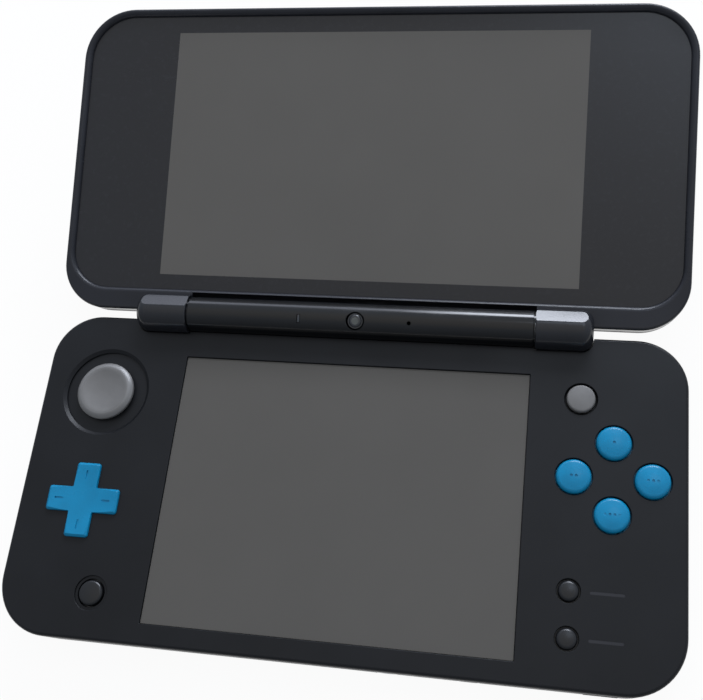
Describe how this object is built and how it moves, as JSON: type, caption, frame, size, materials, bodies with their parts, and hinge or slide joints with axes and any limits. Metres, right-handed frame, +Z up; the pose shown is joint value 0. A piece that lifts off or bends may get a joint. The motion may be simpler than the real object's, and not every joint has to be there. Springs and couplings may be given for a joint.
{
  "type": "clamshell handheld game console",
  "caption": "Clamshell handheld game console: wide screen in a hinged lid, touch screen in the base by a circle pad, cross key, round buttons and nub stick, plus shoulder buttons and stylus.",
  "frame": {"origin": "centre of the base's flat underside", "axes": "+X to the player's right, +Y from the player towards the hinge, +Z up out of the deck"},
  "size_m": [0.1602, 0.1625, 0.0339],
  "materials": {
    "body_black": "moulded black plastic with a soft satin sheen",
    "screen_surround": "polished black panel in front of the upper display",
    "touch_screen": "switched-off touch screen, even dark grey",
    "display_glass": "back of the lower display module",
    "display_module": "light plastic frame and layers of the upper display module",
    "turquoise_plastic": "turquoise key plastic, softly glossy",
    "grey_plastic": "mid grey, finely textured grip surface",
    "rubber_sheet": "moulded silicone sheet",
    "circuit_board": "green solder-resist laminate",
    "battery_case": "thin dark metal can",
    "steel_part": "plain sheet or turned steel",
    "flex_foil": "amber polyimide flat cable",
    "camera_glass": "dark coated lens",
    "light_window": "milky light guide"
  },
  "bodies": {
    "base": {"base_upper_shell": "body_black", "base_lower_shell": "body_black", "hinge_barrel": "body_black", "touch_panel": "touch_screen", "lower_display": "display_glass", "left_membrane": "rubber_sheet", "right_membrane": "rubber_sheet", "main_board": "circuit_board", "battery": "battery_case", "circle_pad_housing": "steel_part", "nub_sensor": "steel_part", "processor_shield": "steel_part", "wireless_module": "steel_part", "left_speaker": "steel_part", "right_speaker": "steel_part", "hinge_clutch": "steel_part", "hinge_bush": "steel_part", "game_card_reader": "steel_part", "memory_card_socket": "steel_part", "headphone_jack": "steel_part", "charging_port": "steel_part", "volume_potentiometer": "steel_part", "cover_screw_1": "steel_part", "cover_screw_2": "steel_part", "cover_screw_3": "steel_part", "cover_screw_4": "steel_part", "display_cable_roll": "flex_foil", "front_camera": "camera_glass", "left_outer_camera": "camera_glass", "right_outer_camera": "camera_glass", "indicator_light": "light_window"},
    "lid": {"lid_inner_frame": "body_black", "lid_outer_cover": "body_black", "upper_screen_panel": "screen_surround", "upper_display": "display_module", "lid_ribbon_cable": "flex_foil", "hinge_shaft": "steel_part"},
    "circle_pad_slider": {"circle_pad_slider": "grey_plastic"},
    "circle_pad": {"circle_pad": "grey_plastic"},
    "cross_key_pivot": {"cross_key_pivot": "grey_plastic"},
    "cross_key": {"cross_key": "turquoise_plastic"},
    "nub_post": {"nub_post": "steel_part"},
    "nub_stick": {"nub_stick": "grey_plastic"},
    "face_button_top": {"face_button_top": "turquoise_plastic"},
    "face_button_left": {"face_button_left": "turquoise_plastic"},
    "face_button_right": {"face_button_right": "turquoise_plastic"},
    "face_button_bottom": {"face_button_bottom": "turquoise_plastic"},
    "home_button": {"home_button": "body_black"},
    "menu_button_upper": {"menu_button_upper": "body_black"},
    "menu_button_lower": {"menu_button_lower": "body_black"},
    "left_shoulder_button": {"left_shoulder_button": "body_black"},
    "right_shoulder_button": {"right_shoulder_button": "body_black"},
    "left_trigger_button": {"left_trigger_button": "body_black"},
    "right_trigger_button": {"right_trigger_button": "body_black"},
    "power_button": {"power_button": "body_black"},
    "volume_slider": {"volume_slider": "body_black"},
    "card_door": {"card_door": "body_black"},
    "stylus": {"stylus": "body_black"}
  },
  "joints": [
    {"name": "lid_hinge", "type": "hinge", "parent": "base", "child": "lid", "pos_m": [0, 0.0417, 0.01325], "axis": [1, 0, 0], "range_deg": [0, 165.5]},
    {"name": "circle_pad_sideways", "type": "slide", "parent": "base", "child": "circle_pad_slider", "axis": [1, 0, 0], "range_m": [-0.0019, 0.0019], "stiffness_N_per_m": 150},
    {"name": "circle_pad_fore_and_aft", "type": "slide", "parent": "circle_pad_slider", "child": "circle_pad", "axis": [0, 1, 0], "range_m": [-0.0019, 0.0019], "stiffness_N_per_m": 150},
    {"name": "cross_key_tilt_fore_and_aft", "type": "hinge", "parent": "base", "child": "cross_key_pivot", "pos_m": [-0.063, -0.0079, 0.0095], "axis": [1, 0, 0], "range_deg": [-2.2, 2.2], "stiffness_Nm_per_rad": 0.16},
    {"name": "cross_key_tilt_sideways", "type": "hinge", "parent": "cross_key_pivot", "child": "cross_key", "pos_m": [-0.063, -0.0079, 0.0095], "axis": [0, 1, 0], "range_deg": [-2.2, 2.2], "stiffness_Nm_per_rad": 0.16},
    {"name": "nub_tilt_fore_and_aft", "type": "hinge", "parent": "base", "child": "nub_post", "pos_m": [0.0552, 0.0249, 0.0086], "axis": [1, 0, 0], "range_deg": [-4, 4], "stiffness_Nm_per_rad": 0.05},
    {"name": "nub_tilt_sideways", "type": "hinge", "parent": "nub_post", "child": "nub_stick", "pos_m": [0.0552, 0.0249, 0.0086], "axis": [0, 1, 0], "range_deg": [-4, 4], "stiffness_Nm_per_rad": 0.05},
    {"name": "face_button_top_press", "type": "slide", "parent": "base", "child": "face_button_top", "axis": [0, 0, -1], "range_m": [0, 0.0007], "stiffness_N_per_m": 250, "springref_m": -0.001},
    {"name": "face_button_left_press", "type": "slide", "parent": "base", "child": "face_button_left", "axis": [0, 0, -1], "range_m": [0, 0.0007], "stiffness_N_per_m": 250, "springref_m": -0.001},
    {"name": "face_button_right_press", "type": "slide", "parent": "base", "child": "face_button_right", "axis": [0, 0, -1], "range_m": [0, 0.0007], "stiffness_N_per_m": 250, "springref_m": -0.001},
    {"name": "face_button_bottom_press", "type": "slide", "parent": "base", "child": "face_button_bottom", "axis": [0, 0, -1], "range_m": [0, 0.0007], "stiffness_N_per_m": 250, "springref_m": -0.001},
    {"name": "home_button_press", "type": "slide", "parent": "base", "child": "home_button", "axis": [0, 0, -1], "range_m": [0, 0.0005], "stiffness_N_per_m": 250, "springref_m": -0.001},
    {"name": "menu_button_upper_press", "type": "slide", "parent": "base", "child": "menu_button_upper", "axis": [0, 0, -1], "range_m": [0, 0.0005], "stiffness_N_per_m": 250, "springref_m": -0.001},
    {"name": "menu_button_lower_press", "type": "slide", "parent": "base", "child": "menu_button_lower", "axis": [0, 0, -1], "range_m": [0, 0.0005], "stiffness_N_per_m": 250, "springref_m": -0.001},
    {"name": "left_shoulder_press", "type": "hinge", "parent": "base", "child": "left_shoulder_button", "pos_m": [-0.0755, 0.0312, 0.0042], "axis": [0, 0, -1], "range_deg": [0, 2.2], "stiffness_Nm_per_rad": 0.4, "springref_deg": -1.72},
    {"name": "right_shoulder_press", "type": "hinge", "parent": "base", "child": "right_shoulder_button", "pos_m": [0.0755, 0.0312, 0.0042], "axis": [0, 0, 1], "range_deg": [0, 2.2], "stiffness_Nm_per_rad": 0.4, "springref_deg": -1.72},
    {"name": "left_trigger_press", "type": "slide", "parent": "base", "child": "left_trigger_button", "axis": [0, -1, 0], "range_m": [0, 0.0008], "stiffness_N_per_m": 300, "springref_m": -0.001},
    {"name": "right_trigger_press", "type": "slide", "parent": "base", "child": "right_trigger_button", "axis": [0, -1, 0], "range_m": [0, 0.0008], "stiffness_N_per_m": 300, "springref_m": -0.001},
    {"name": "power_button_press", "type": "slide", "parent": "base", "child": "power_button", "axis": [0, 1, 0], "range_m": [0, 0.0006], "stiffness_N_per_m": 300, "springref_m": -0.001},
    {"name": "volume_slide", "type": "slide", "parent": "base", "child": "volume_slider", "axis": [0, 1, 0], "range_m": [-0.0035, 0.0035]},
    {"name": "card_door_hinge", "type": "hinge", "parent": "base", "child": "card_door", "pos_m": [-0.0195, -0.0397, 0.0033], "axis": [1, 0, 0], "range_deg": [0, 90]},
    {"name": "stylus_pull", "type": "slide", "parent": "base", "child": "stylus", "axis": [0, -1, 0], "range_m": [0, 0.07]}
  ]
}
